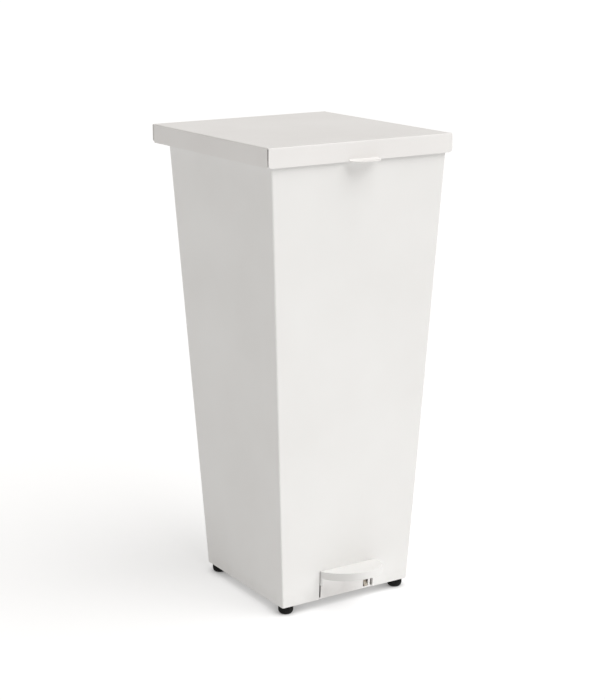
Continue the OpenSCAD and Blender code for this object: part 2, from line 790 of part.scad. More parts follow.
module push_rod() {
    color(zinc) on_rear_wall() translate([0, rod_out, clevis_up])
        cylinder(h = top_pin_up - eye_r - clevis_up, r = rod_d / 2);
}

module rod_eye() {
    color(zinc) on_rear_wall() translate([0, rod_out, top_pin_up]) difference() {
        union() {
            along_x(-eye_t / 2) cylinder(h = eye_t, r = eye_r);
            translate([0, 0, -eye_r - 8]) cylinder(h = 10, r = rod_d / 2 + 1.2);
        }
        along_x(-eye_t) cylinder(h = 2 * eye_t, r = top_pin_d / 2);
        translate([0, 0, -eye_r - 9]) cylinder(h = 9, r = rod_d / 2);
    }
}

module rod_top_pin() {
    l = lug_x + 1;
    color(zinc) on_rear_wall() translate([0, rod_out, top_pin_up]) {
        along_x(-l) cylinder(h = 2 * l, r = top_pin_d / 2);
        for (s = [-1, 1]) on_side(s) along_x(l - 0.1) cylinder(h = 1.4, r = top_pin_d / 2 + 1.2);
    }
}

// Fork round the end of the lever bar
module rod_clevis() {
    color(zinc) on_rear_wall() translate([0, rod_out, low_pin_up]) difference() {
        union() {
            for (s = [-1, 1]) on_side(s) {
                along_x(clevis_x - clevis_t) cylinder(h = clevis_t, r = clevis_r);
                translate([clevis_x - clevis_t, -clevis_r, 0]) cube([clevis_t, 2 * clevis_r, 14]);
            }
            translate([-clevis_x, -clevis_r, 10]) cube([2 * clevis_x, 2 * clevis_r, 8]);
        }
        along_x(-2 * clevis_x) cylinder(h = 4 * clevis_x, r = low_pin_d / 2);
        translate([0, 0, 14]) cylinder(h = 10, r = rod_d / 2);
    }
}

module clevis_pin() {
    color(zinc) on_rear_wall() translate([0, rod_out, low_pin_up]) {
        along_x(-clevis_x - 1.2) cylinder(h = 1.2, r = low_pin_d / 2 + 1.5);
        difference() {
            along_x(-clevis_x - 0.1) cylinder(h = 2 * clevis_x + 2.4, r = low_pin_d / 2);
            along_x(clevis_x + 0.3) difference() {
                cylinder(h = 0.8, r = low_pin_d);
                translate([0, 0, -1]) cylinder(h = 3, r = low_pin_d / 2 - 0.5);
            }
        }
    }
}

module clevis_clip() {
    color(zinc) on_rear_wall() translate([0, rod_out, low_pin_up])
        along_x(clevis_x + 0.3) e_clip(low_pin_d / 2 - 0.5, low_pin_d / 2 + 2, 0.8);
}

// ---- Bucket ------------------------------------------------------------------------------------

module inner_bucket() {
    corner = 18;
    color(grey) difference() {
        union() {
            translate([0, 0, bucket_bottom])
                bucket_block(bucket_low, bucket_half, bucket_h, corner);
            translate([0, 0, bucket_top - bead_h]) linear_extrude(height = bead_h)
                rounded_square(bucket_half + bead_w, corner + 6);
        }
        translate([0, 0, bucket_bottom + bucket_t])
            bucket_block(bucket_low - bucket_t, bucket_half - bucket_t, bucket_h, corner);
        translate([0, 0, bail_z]) along_x(-bucket_half - 9)
            cylinder(h = 2 * bucket_half + 18, r = bail_d / 2 + run_gap);
    }
}

module bail_elbow() {
    rotate_extrude(angle = 90) translate([bail_bend, 0]) circle(bail_d / 2);
}

// Wire bail that lies inside the rim; its ends turn outward through the bucket's walls
module bail_handle() {
    r = bail_d / 2;
    wall_x = bucket_at(bail_z);
    color(zinc) translate([0, 0, bail_z]) {
        for (s = [-1, 1]) on_side(s) {
            along_x(bail_x - r) cylinder(h = wall_x + 0.6 - bail_x + r, r = r);
            along_x(wall_x + 0.5) cylinder(h = bail_cap_t, r = r + 1.4);
            sphere_at(bail_x);
            translate([bail_x, 0, 0]) rotate([90, 0, 0]) cylinder(h = bail_reach - bail_bend, r = r);
            translate([bail_x - bail_bend, -bail_reach + bail_bend, 0]) rotate([0, 0, -90])
                bail_elbow();
        }
        translate([0, -bail_reach, 0]) along_x(-bail_x + bail_bend)
            cylinder(h = 2 * (bail_x - bail_bend), r = r);
    }
}

module sphere_at(x) {
    translate([x, 0, 0]) sphere(bail_d / 2);
}

module bail_grip() {
    color(black) translate([0, -bail_reach, bail_z]) along_x(-grip_l / 2) difference() {
        cylinder(h = grip_l, r = grip_d / 2);
        translate([0, 0, -1]) cylinder(h = grip_l + 2, r = bail_d / 2);
    }
}

placed() body_shell();
placed() base_tray();
placed() bucket_shelf();
placed() rear_channel();
placed() hinge_bracket(-1);  // hinge_bracket_left
placed() hinge_bracket(1);  // hinge_bracket_right
placed() hinge_pin(-1);  // hinge_pin_left
placed() hinge_pin(1);  // hinge_pin_right
placed() hinge_clips();
placed() rod_guide(guide_ups[1]);  // rod_guide_upper
placed() rod_guide(guide_ups[0]);  // rod_guide_lower
placed() pivot_bracket(-1);  // pivot_bracket_left
placed() pivot_bracket(1);  // pivot_bracket_right
placed() pedal_axle();
placed() axle_clips();
placed() pedal_stop();
placed() wall_rivets();
placed() tray_rivets();
placed() foot(-1, -1);  // foot_front_left
placed() foot(1, -1);  // foot_front_right
placed() foot(-1, 1);  // foot_rear_left
placed() foot(1, 1);  // foot_rear_right
placed() foot_screws();
placed() foot_nuts();
placed() lid_shell();
placed() lid_bracket(-1);  // lid_bracket_left
placed() lid_bracket(1);  // lid_bracket_right
placed() lid_lug();
placed() lid_buffers();
placed() pedal_tread();
placed() pedal_yoke();
placed() lever_bar();
placed() pedal_bush(-1);  // pedal_bush_left
placed() pedal_bush(1);  // pedal_bush_right
placed() yoke_rivets();
placed() push_rod();
placed() rod_eye();
placed() rod_clevis();
placed() rod_top_pin();
placed() clevis_pin();
placed() clevis_clip();
placed() inner_bucket();
placed() bail_handle();
placed() bail_grip();
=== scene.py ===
import json
import math
import bmesh
import bpy
from mathutils import Matrix, Vector

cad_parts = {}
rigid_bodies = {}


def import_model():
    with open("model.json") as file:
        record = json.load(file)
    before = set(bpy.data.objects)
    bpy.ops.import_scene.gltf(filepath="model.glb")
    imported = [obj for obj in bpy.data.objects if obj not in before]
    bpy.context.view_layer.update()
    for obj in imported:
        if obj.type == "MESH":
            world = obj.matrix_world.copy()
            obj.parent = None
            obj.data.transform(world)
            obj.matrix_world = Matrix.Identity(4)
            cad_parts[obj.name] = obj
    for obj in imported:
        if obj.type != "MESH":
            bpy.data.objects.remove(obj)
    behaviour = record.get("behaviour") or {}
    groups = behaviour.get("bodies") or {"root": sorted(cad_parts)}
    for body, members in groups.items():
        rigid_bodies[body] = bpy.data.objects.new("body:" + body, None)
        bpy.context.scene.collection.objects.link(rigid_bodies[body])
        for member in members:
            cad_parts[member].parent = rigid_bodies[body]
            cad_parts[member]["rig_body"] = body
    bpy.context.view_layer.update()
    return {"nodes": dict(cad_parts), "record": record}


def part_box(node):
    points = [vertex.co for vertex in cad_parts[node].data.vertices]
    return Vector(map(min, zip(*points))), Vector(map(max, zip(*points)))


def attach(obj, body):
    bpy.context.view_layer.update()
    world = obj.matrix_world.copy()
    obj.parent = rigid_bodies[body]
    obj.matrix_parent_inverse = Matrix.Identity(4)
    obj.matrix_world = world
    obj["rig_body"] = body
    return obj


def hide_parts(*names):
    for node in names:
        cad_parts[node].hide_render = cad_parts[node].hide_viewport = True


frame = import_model()
MM = 0.001


# ---- Camera, light and floor ------------------------------------------------------
# The bin stands on a white studio floor that fades into a white surround. One broad soft
# lamp stands high in front on the right, and the room fills the rest. The floor glows a
# little, so the shadows stay light, and its glow is dimmed where the base comes near it: a painted
# contact shadow.

body_low, body_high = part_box("body_shell")
mid = Vector((0, (body_low[1] + body_high[1]) / 2, 0))

camera = bpy.data.objects.new("camera", bpy.data.cameras.new("camera"))
bpy.context.scene.collection.objects.link(camera)
bpy.context.scene.camera = camera
azimuth, elevation, roll = math.radians(-32.30), math.radians(14.42), math.radians(-0.17)
back = Vector((math.sin(azimuth) * math.cos(elevation), -math.cos(azimuth) * math.cos(elevation),
               math.sin(elevation)))
camera.location = mid + Vector((-1.2797, -2.0160, 0.9712))
camera.rotation_mode = "QUATERNION"
level = (-back).to_track_quat("-Z", "Y")
camera.rotation_quaternion = level @ Matrix.Rotation(roll, 4, "Z").to_quaternion()
camera.data.sensor_width = 36
camera.data.lens = 86.31
camera.data.clip_end = 100

bpy.context.scene.view_settings.view_transform = "Standard"

world = bpy.data.worlds.new("studio")
bpy.context.scene.world = world
world.use_nodes = True
tree = world.node_tree
room = tree.nodes["Background"]
room.inputs["Color"].default_value = (1.0, 0.93, 0.84, 1)
room.inputs["Strength"].default_value = 0.235
surround = tree.nodes.new("ShaderNodeBackground")
surround.inputs["Color"].default_value = (1, 1, 1, 1)
surround.inputs["Strength"].default_value = 1.0
seen = tree.nodes.new("ShaderNodeLightPath")
choose = tree.nodes.new("ShaderNodeMixShader")
mirrored = tree.nodes.new("ShaderNodeMath")
mirrored.operation = "MULTIPLY_ADD"
mirrored.inputs[1].default_value = 0.7      # how much of the bright surround the gloss sees
tree.links.new(seen.outputs["Is Glossy Ray"], mirrored.inputs[0])
tree.links.new(seen.outputs["Is Camera Ray"], mirrored.inputs[2])
tree.links.new(mirrored.outputs[0], choose.inputs["Fac"])
tree.links.new(room.outputs["Background"], choose.inputs[1])
tree.links.new(surround.outputs["Background"], choose.inputs[2])
tree.links.new(choose.outputs["Shader"], tree.nodes["World Output"].inputs["Surface"])


def soft_sun(name, towards, strength, spread):
    lamp = bpy.data.lights.new(name, "SUN")
    lamp.energy = strength
    lamp.angle = math.radians(spread)
    holder = bpy.data.objects.new(name, lamp)
    bpy.context.scene.collection.objects.link(holder)
    holder.rotation_mode = "QUATERNION"
    holder.rotation_quaternion = Vector(towards).to_track_quat("Z", "Y")
    return holder


soft_sun("key", (0.42, -0.65, 1.10), 2.46, 60)

floor_mesh = bpy.data.meshes.new("floor")
side = 30
corners = [(-side, -side, 0), (side, -side, 0), (side, side, 0), (-side, side, 0)]
floor_mesh.from_pydata(corners, [], [(0, 1, 2, 3)])
floor = bpy.data.objects.new("floor", floor_mesh)
bpy.context.scene.collection.objects.link(floor)
floor_mat = bpy.data.materials.new("studio_floor")
floor_mat.use_nodes = True
paper = floor_mat.node_tree.nodes["Principled BSDF"]
paper.inputs["Base Color"].default_value = (0.48, 0.48, 0.48, 1)
paper.inputs["Roughness"].default_value = 0.9
paper.inputs["Emission Color"].default_value = (1, 1, 1, 1)
# Painted contact shadow: ambient occlusion dims the floor's glow where the bin comes near.
contact_shadow_ao = floor_mat.node_tree.nodes.new("ShaderNodeAmbientOcclusion")
contact_shadow_ao.inputs["Distance"].default_value = 0.025
painted_contact_shadow = floor_mat.node_tree.nodes.new("ShaderNodeMapRange")
for label, value in (("From Min", 0.0), ("From Max", 0.8), ("To Min", 0.06), ("To Max", 0.6)):
    painted_contact_shadow.inputs[label].default_value = value
floor_mat.node_tree.links.new(contact_shadow_ao.outputs["AO"], painted_contact_shadow.inputs["Value"])
floor_mat.node_tree.links.new(painted_contact_shadow.outputs["Result"], paper.inputs["Emission Strength"])
floor_mesh.materials.append(floor_mat)


# ---- Body wrapper -----------------------------------------------------------------
# One sheet of 1.2 mm steel folded into four leaning walls, with an inward flange at the
# rim and a window for the pedal. It is powder-coated a satin off-white.

def shader_group(name, sockets_in, sockets_out):
    """An empty shader node group with these named float inputs and outputs."""
    group = bpy.data.node_groups.new(name, "ShaderNodeTree")
    for label, value in sockets_in.items():
        made = group.interface.new_socket(label, in_out="INPUT", socket_type="NodeSocketFloat")
        made.default_value = value
    for label in sockets_out:
        group.interface.new_socket(label, in_out="OUTPUT", socket_type="NodeSocketFloat")
    return group, group.nodes.new("NodeGroupInput"), group.nodes.new("NodeGroupOutput")


def orange_peel_group():
    """The faint dimples of baked powder: fine ones on slower waves."""
    group, given, out = shader_group("orange_peel", {"Dimple": 700.0, "Wave": 90.0},
                                     ["Height", "Mottle"])
    place = group.nodes.new("ShaderNodeTexCoord")
    heights = []
    for socket in ("Dimple", "Wave"):
        noise = group.nodes.new("ShaderNodeTexNoise")
        noise.inputs["Detail"].default_value = 2
        group.links.new(place.outputs["Object"], noise.inputs["Vector"])
        group.links.new(given.outputs[socket], noise.inputs["Scale"])
        heights.append(noise.outputs["Fac"])
    mix = group.nodes.new("ShaderNodeMath")
    mix.operation = "MULTIPLY_ADD"
    mix.inputs[1].default_value = 0.35
    group.links.new(heights[0], mix.inputs[0])
    group.links.new(heights[1], mix.inputs[2])
    group.links.new(mix.outputs[0], out.inputs["Height"])
    slow = group.nodes.new("ShaderNodeTexNoise")
    slow.inputs["Scale"].default_value = 7
    slow.inputs["Detail"].default_value = 3
    group.links.new(place.outputs["Object"], slow.inputs["Vector"])
    group.links.new(slow.outputs["Fac"], out.inputs["Mottle"])
    return group


def dust_group():
    """A mask of dust that settles near the floor and breaks up in patches."""
    group, given, out = shader_group("floor_dust", {"Reach": 0.06, "Patch": 60.0}, ["Mask"])
    place = group.nodes.new("ShaderNodeTexCoord")
    split = group.nodes.new("ShaderNodeSeparateXYZ")
    group.links.new(place.outputs["Object"], split.inputs[0])
    fade = group.nodes.new("ShaderNodeMapRange")
    fade.inputs["From Min"].default_value = 0
    fade.inputs["To Min"].default_value = 1
    fade.inputs["To Max"].default_value = 0
    group.links.new(split.outputs["Z"], fade.inputs["Value"])
    group.links.new(given.outputs["Reach"], fade.inputs["From Max"])
    noise = group.nodes.new("ShaderNodeTexNoise")
    noise.inputs["Detail"].default_value = 4
    group.links.new(place.outputs["Object"], noise.inputs["Vector"])
    group.links.new(given.outputs["Patch"], noise.inputs["Scale"])
    both = group.nodes.new("ShaderNodeMath")
    both.operation = "MULTIPLY"
    group.links.new(fade.outputs["Result"], both.inputs[0])
    group.links.new(noise.outputs["Fac"], both.inputs[1])
    group.links.new(both.outputs[0], out.inputs["Mask"])
    return group


orange_peel = orange_peel_group()
floor_dust = dust_group()


def place_group(tree, group, **values):
    node = tree.nodes.new("ShaderNodeGroup")
    node.node_tree = group
    for label, value in values.items():
        node.inputs[label].default_value = value
    return node


def mix_colour(tree, amount, first, second):
    """Colour between two, by a socket that varies over the surface."""
    mix = tree.nodes.new("ShaderNodeMix")
    mix.data_type = "RGBA"
    mix.inputs["A"].default_value = (*first, 1)
    mix.inputs["B"].default_value = (*second, 1)
    tree.links.new(amount, mix.inputs["Factor"])
    return mix


def map_value(tree, value, low, high, out_low, out_high):
    """Value stretched from low..high to out_low..out_high and held there."""
    ramp = tree.nodes.new("ShaderNodeMapRange")
    for label, number in (("From Min", low), ("From Max", high),
                          ("To Min", out_low), ("To Max", out_high)):
        ramp.inputs[label].default_value = number
    tree.links.new(value, ramp.inputs["Value"])
    return ramp.outputs["Result"]


def add_bump(tree, height, strength, depth):
    bump = tree.nodes.new("ShaderNodeBump")
    bump.inputs["Strength"].default_value = strength
    bump.inputs["Distance"].default_value = depth
    tree.links.new(height, bump.inputs["Height"])
    tree.links.new(bump.outputs["Normal"], tree.nodes["Principled BSDF"].inputs["Normal"])


def new_material(name):
    material = bpy.data.materials.new(name)
    material.use_nodes = True
    return material, material.node_tree, material.node_tree.nodes["Principled BSDF"]


def powder_coat(name, tone=(0.845, 0.842, 0.833), shade=(0.822, 0.817, 0.806), gloss=0.42, dirt=0.25):
    """Baked off-white powder: satin, faintly dimpled and mottled, dusty near the floor."""
    material, tree, shader = new_material(name)
    peel = place_group(tree, orange_peel)
    colour = mix_colour(tree, map_value(tree, peel.outputs["Mottle"], 0.35, 0.65, 0, 1), tone, shade)
    dust = place_group(tree, floor_dust)
    dusty = tree.nodes.new("ShaderNodeMix")
    dusty.data_type = "RGBA"
    dusty.inputs["B"].default_value = (0.52, 0.50, 0.47, 1)
    tree.links.new(map_value(tree, dust.outputs["Mask"], 0.2, 0.8, 0, dirt), dusty.inputs["Factor"])
    tree.links.new(colour.outputs["Result"], dusty.inputs["A"])
    tree.links.new(dusty.outputs["Result"], shader.inputs["Base Color"])
    tree.links.new(map_value(tree, peel.outputs["Mottle"], 0.3, 0.7, gloss - 0.04, gloss + 0.06),
                   shader.inputs["Roughness"])
    shader.inputs["IOR"].default_value = 1.48
    add_bump(tree, peel.outputs["Height"], 0.18, 0.00012)
    return material


white_coat = powder_coat("white_powder_coat")


def new_piece(name, mesh, material):
    piece = bpy.data.objects.new(name, mesh)
    bpy.context.scene.collection.objects.link(piece)
    mesh.materials.clear()
    mesh.materials.append(material)
    return piece


def round_edges(piece, width, steps=2, angle=32, method="ANGLE"):
    """Rounds the piece's sharp edges and shades its faces smoothly, flats kept flat."""
    piece.data.shade_smooth()
    bevel = piece.modifiers.new("edges", "BEVEL")
    bevel.width = width
    bevel.segments = steps
    bevel.limit_method = method
    bevel.angle_limit = math.radians(angle)
    flats = piece.modifiers.new("flats", "WEIGHTED_NORMAL")
    flats.weight = 100
    return piece


def stand_for(piece, node):
    """Rides the piece on the node's body, in its place, and hides the node."""
    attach(piece, frame["nodes"][node]["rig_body"])
    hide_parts(node)


def merged_shape(node):
    """The node's faces as one closed shape, with the cuts across its flats taken away."""
    shape = bmesh.new()
    shape.from_mesh(frame["nodes"][node].data)
    bmesh.ops.remove_doubles(shape, verts=shape.verts, dist=0.002 * MM)
    bmesh.ops.dissolve_limit(shape, angle_limit=math.radians(0.4), verts=shape.verts, edges=shape.edges)
    return shape


def finished_copy(node, material, edge, steps=2):
    """The node's own shape with its edges rounded by edge."""
    shape = merged_shape(node)
    mesh = bpy.data.meshes.new("finished_" + node)
    shape.to_mesh(mesh)
    shape.free()
    piece = round_edges(new_piece("finished_" + node, mesh, material), edge, steps)
    stand_for(piece, node)
    return piece


finished_copy("body_shell", white_coat, 0.4 * MM, 3)


# ---- Base tray and bucket shelf ---------------------------------------------------
# The tray is a folded 1.5 mm pan spot-welded inside the walls; its front flange shows in
# the pedal window. The shelf that carries the bucket is a zinc-plated bridge riveted to it.

# Painted light: the tray's copy of the white coat is lighter than the body's, to brighten the flange
# that sits in the tread's shade.
tray_coat_painted_light = powder_coat("tray_powder_painted_light", (0.93, 0.915, 0.905), (0.90, 0.885, 0.875), 0.5, 0.3)
finished_copy("base_tray", tray_coat_painted_light, 0.25 * MM)


def spangle_group():
    """Small crystals of zinc and long faint rub marks."""
    group, given, out = shader_group("zinc_spangle", {"Crystal": 260.0, "Rub": 35.0},
                                     ["Grain", "Rubbed"])
    place = group.nodes.new("ShaderNodeTexCoord")
    cells = group.nodes.new("ShaderNodeTexVoronoi")
    group.links.new(place.outputs["Object"], cells.inputs["Vector"])
    group.links.new(given.outputs["Crystal"], cells.inputs["Scale"])
    tone = group.nodes.new("ShaderNodeSeparateColor")
    group.links.new(cells.outputs["Color"], tone.inputs[0])
    group.links.new(tone.outputs["Red"], out.inputs["Grain"])
    rub = group.nodes.new("ShaderNodeTexNoise")
    rub.inputs["Detail"].default_value = 6
    rub.inputs["Distortion"].default_value = 0.6
    group.links.new(place.outputs["Object"], rub.inputs["Vector"])
    group.links.new(given.outputs["Rub"], rub.inputs["Scale"])
    group.links.new(rub.outputs["Fac"], out.inputs["Rubbed"])
    return group


zinc_spangle = spangle_group()


def zinc_plate(name, tone, dull):
    """Bright zinc plating: grey metal with fine crystals, duller where it is rubbed."""
    material, tree, shader = new_material(name)
    zinc = place_group(tree, zinc_spangle)
    colour = mix_colour(tree, zinc.outputs["Grain"], tone, [0.86 * part for part in tone])
    tree.links.new(colour.outputs["Result"], shader.inputs["Base Color"])
    tree.links.new(map_value(tree, zinc.outputs["Rubbed"], 0.35, 0.7, dull - 0.1, dull + 0.14),
                   shader.inputs["Roughness"])
    shader.inputs["Metallic"].default_value = 1.0
    add_bump(tree, zinc.outputs["Rubbed"], 0.15, 0.0002)
    return material


zinc_sheet = zinc_plate("zinc_plated_sheet", (0.70, 0.71, 0.72), 0.38)
finished_copy("bucket_shelf", zinc_sheet, 0.3 * MM)


# ---- Feet -------------------------------------------------------------------------
# Four ribbed bowl-shaped glides moulded in black rubber. A screw up through each one and
# a flanged nut on the tray hold them.

def moulded(name, tone, rough, grain, depth, dust=0.0, dust_tone=(0.30, 0.29, 0.27)):
    """Moulded rubber or plastic: fine grain, slow colour drift and a little dust."""
    material, tree, shader = new_material(name)
    skin = place_group(tree, orange_peel, Dimple=grain, Wave=grain / 6)
    colour = mix_colour(tree, map_value(tree, skin.outputs["Mottle"], 0.3, 0.7, 0, 1), tone,
                        [0.86 * part for part in tone])
    low = place_group(tree, floor_dust, Reach=0.03, Patch=220.0)
    dusty = tree.nodes.new("ShaderNodeMix")
    dusty.data_type = "RGBA"
    dusty.inputs["B"].default_value = (*dust_tone, 1)
    tree.links.new(map_value(tree, low.outputs["Mask"], 0.3, 0.8, 0, dust), dusty.inputs["Factor"])
    tree.links.new(colour.outputs["Result"], dusty.inputs["A"])
    tree.links.new(dusty.outputs["Result"], shader.inputs["Base Color"])
    tree.links.new(map_value(tree, skin.outputs["Mottle"], 0.3, 0.7, rough - 0.06, rough + 0.06),
                   shader.inputs["Roughness"])
    shader.inputs["IOR"].default_value = 1.49
    add_bump(tree, skin.outputs["Height"], 0.25, depth)
    return material


black_rubber = moulded("black_rubber", (0.006, 0.006, 0.006), 0.80, 1500.0, 0.00008, 0.03)
rubber_shader = black_rubber.node_tree.nodes["Principled BSDF"]
rubber_shader.inputs["Specular IOR Level"].default_value = 0.25
zinc_fixing = zinc_plate("zinc_plated_fixing", (0.66, 0.67, 0.69), 0.32)
for corner in ("front_left", "front_right", "rear_left", "rear_right"):
    finished_copy("foot_" + corner, black_rubber, 0.15 * MM)
finished_copy("foot_screws", zinc_fixing, 0.2 * MM)
finished_copy("foot_nuts", zinc_fixing, 0.25 * MM)


# ---- Rear channel, rod guides and hinge brackets ----------------------------------
# A painted channel riveted up the rear wall hides the push rod. Two nylon blocks guide
# the rod, and two zinc-plated brackets at the top carry the hinge pins.

finished_copy("rear_channel", white_coat, 0.4 * MM)
cream_nylon = moulded("natural_nylon", (0.56, 0.50, 0.42), 0.42, 1100.0, 0.00005)
nylon_shader = cream_nylon.node_tree.nodes["Principled BSDF"]
nylon_shader.inputs["Subsurface Weight"].default_value = 0.08
nylon_shader.inputs["Subsurface Radius"].default_value = (0.002, 0.0015, 0.001)
for end in ("upper", "lower"):
    finished_copy("rod_guide_" + end, cream_nylon, 0.4 * MM)
for hand in ("left", "right"):
    finished_copy("hinge_bracket_" + hand, zinc_sheet, 0.3 * MM)
    finished_copy("hinge_pin_" + hand, zinc_fixing, 0.25 * MM)
finished_copy("hinge_clips", zinc_fixing, 0.1 * MM, 1)


def lathe(profile, turns):
    """Closed shape from (radius, height) points turned round Z; its ends are on the axis."""
    shape = bmesh.new()
    rings = []
    for radius, height in profile:
        if radius == 0:
            rings.append([shape.verts.new((0, 0, height))])
        else:
            rings.append([shape.verts.new((radius * math.cos(turn), radius * math.sin(turn), height))
                          for turn in (2 * math.pi * k / turns for k in range(turns))])
    for lower, upper in zip(rings, rings[1:]):
        for k in range(turns):
            loop = [lower[k % len(lower)], lower[(k + 1) % turns % len(lower)],
                    upper[(k + 1) % turns % len(upper)], upper[k % len(upper)]]
            shape.faces.new(list(dict.fromkeys(loop)))
    mesh = bpy.data.meshes.new("turned")
    shape.to_mesh(mesh)
    shape.free()
    mesh.shade_smooth()
    return mesh


def set_out_tree():
    """Puts a copy of a part on each point, turned and sized by the point's own values."""
    tree = bpy.data.node_groups.new("set_out_parts", "GeometryNodeTree")
    tree.interface.new_socket("Points", in_out="INPUT", socket_type="NodeSocketGeometry")
    tree.interface.new_socket("Part", in_out="INPUT", socket_type="NodeSocketObject")
    tree.interface.new_socket("Size", in_out="INPUT", socket_type="NodeSocketFloat")
    tree.interface.new_socket("Finish", in_out="INPUT", socket_type="NodeSocketMaterial")
    tree.interface.new_socket("Parts", in_out="OUTPUT", socket_type="NodeSocketGeometry")
    given, out = tree.nodes.new("NodeGroupInput"), tree.nodes.new("NodeGroupOutput")
    part = tree.nodes.new("GeometryNodeObjectInfo")
    tree.links.new(given.outputs["Part"], part.inputs["Object"])
    turn = tree.nodes.new("GeometryNodeInputNamedAttribute")
    turn.data_type = "FLOAT_VECTOR"
    turn.inputs["Name"].default_value = "turn"
    euler = tree.nodes.new("FunctionNodeEulerToRotation")
    tree.links.new(turn.outputs["Attribute"], euler.inputs[0])
    share = tree.nodes.new("GeometryNodeInputNamedAttribute")
    share.data_type = "FLOAT"
    share.inputs["Name"].default_value = "share"
    size = tree.nodes.new("ShaderNodeMath")
    size.operation = "MULTIPLY"
    tree.links.new(share.outputs["Attribute"], size.inputs[0])
    tree.links.new(given.outputs["Size"], size.inputs[1])
    copies = tree.nodes.new("GeometryNodeInstanceOnPoints")
    tree.links.new(given.outputs["Points"], copies.inputs["Points"])
    tree.links.new(part.outputs["Geometry"], copies.inputs["Instance"])
    tree.links.new(euler.outputs[0], copies.inputs["Rotation"])
    tree.links.new(size.outputs[0], copies.inputs["Scale"])
    real = tree.nodes.new("GeometryNodeRealizeInstances")
    tree.links.new(copies.outputs["Instances"], real.inputs["Geometry"])
    finish = tree.nodes.new("GeometryNodeSetMaterial")
    tree.links.new(real.outputs["Geometry"], finish.inputs["Geometry"])
    tree.links.new(given.outputs["Finish"], finish.inputs["Material"])
    tree.links.new(finish.outputs["Geometry"], out.inputs["Parts"])
    return tree


set_out = set_out_tree()


def set_out_mesh(name, part_mesh, places, material, size=1.0):
    """One mesh of the part at each of places: (point, direction of its axis, share of size)."""
    points = bpy.data.meshes.new(name + "_points")
    points.from_pydata([point for point, _, _ in places], [], [])
    points.attributes.new("turn", "FLOAT_VECTOR", "POINT")
    for index, (_, axis, _) in enumerate(places):
        points.attributes["turn"].data[index].vector = Vector(axis).to_track_quat("Z", "Y").to_euler()
    points.attributes.new("share", "FLOAT", "POINT")
    for index, (_, _, share) in enumerate(places):
        points.attributes["share"].data[index].value = share
    holder = bpy.data.objects.new(name + "_holder", points)
    part = bpy.data.objects.new(name + "_part", part_mesh)
    bpy.context.scene.collection.objects.link(holder)
    setter = holder.modifiers.new("set_out", "NODES")
    setter.node_group = set_out
    sockets = {item.name: item.identifier for item in set_out.interface.items_tree
               if item.in_out == "INPUT"}
    setter[sockets["Part"]] = part
    setter[sockets["Size"]] = size
    setter[sockets["Finish"]] = material
    graph = bpy.context.evaluated_depsgraph_get()
    made = bpy.data.meshes.new_from_object(holder.evaluated_get(graph))
    made.name = name
    bpy.data.objects.remove(holder)
    bpy.data.objects.remove(part)
    return made


def islands(node):
    """The separate lumps of a node, each as a list of its points."""
    shape = merged_shape(node)
    waiting, lumps = set(shape.verts), []
    while waiting:
        reach, lump = [waiting.pop()], []
        while reach:
            vert = reach.pop()
            lump.append(vert.co.copy())
            for edge in vert.link_edges:
                other = edge.other_vert(vert)
                if other in waiting:
                    waiting.remove(other)
                    reach.append(other)
        lumps.append(lump)
    shape.free()
    return lumps


dome = [(0, 0), (1.0, 0), (1.0, 0.10), (0.97, 0.17), (0.88, 0.26), (0.74, 0.33), (0.55, 0.385),
        (0.3, 0.42), (0, 0.43)]
tail_share = 0.8
rivet_sink = 0.12 * MM


def rivets(node, head_r, axis_at):
    """A domed head on one face and a flatter set end on the other, for each lump."""
    rise = dome[-1][1]
    places = []
    for lump in islands(node):
        centre = sum(lump, Vector()) / len(lump)
        axis = Vector(axis_at(centre)).normalized()
        along = [(point - centre).dot(axis) for point in lump]
        head_at = max(along) - head_r * rise - rivet_sink
        tail_at = min(along) + tail_share * head_r * rise + rivet_sink
        places += [(centre + axis * head_at, axis, 1.0), (centre + axis * tail_at, -axis, tail_share)]
    made = set_out_mesh("set_" + node, lathe(dome, 20), places, zinc_fixing, head_r)
    piece = new_piece("set_" + node, made, zinc_fixing)
    stand_for(piece, node)
    return piece


rod_axis = Vector(next(joint["axis"] for joint in frame["record"]["behaviour"]["joints"]
                       if joint["name"] == "rod_slide"))
wall_normal = (0, rod_axis.z, -rod_axis.y)
rivets("wall_rivets", 4 * MM, lambda centre: wall_normal)


# ---- Pedal carriers ---------------------------------------------------------------
# Two zinc-plated brackets riveted to the tray hold the 8 mm axle between spring clips.
# A nylon block beside them stops the pedal; its sloping toe shows in the window plate.

for hand in ("left", "right"):
    finished_copy("pivot_bracket_" + hand, zinc_sheet, 0.3 * MM)
finished_copy("pedal_axle", zinc_fixing, 0.3 * MM)
finished_copy("axle_clips", zinc_fixing, 0.1 * MM, 1)
finished_copy("pedal_stop", cream_nylon, 0.5 * MM)
rivets("tray_rivets", 4 * MM, lambda centre: (0, 0, 1))


# ---- Lid --------------------------------------------------------------------------
# One 1.2 mm sheet with its four skirts bent down, left open at the corners. The middle of
# the front skirt is bent out again as a finger tab, and the lid is powder-coated white in a slightly
# darker copy of the body's coat, painted shade on the skirts.

lid_low, lid_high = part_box("lid_shell")
sheet = 1.2 * MM
tab_half, tab_out, tab_curve, tab_bend = 24 * MM, 18 * MM, 17 * MM, 3 * MM
bend = 1.6 * MM
slit = 4.5 * MM
front_y = lid_low[1] + tab_out
rear_y = lid_high[1] - 0.05 * MM
middle_y = (front_y + rear_y) / 2


def skirt_sides():
    """For each skirt: its two ends, where it starts, and how its points are placed."""
    left, right, rear = lid_low[0], lid_high[0], rear_y
    return (
        (left, right, 5 * MM, lambda u, out, z: (u, front_y - out, z)),
        (left, right, 5 * MM, lambda u, out, z: (u, rear + out, z)),
        (front_y + slit, rear - slit, 1 * MM, lambda u, out, z: (left - out, u, z)),
        (front_y + slit, rear - slit, 1 * MM, lambda u, out, z: (right + out, u, z)),
    )


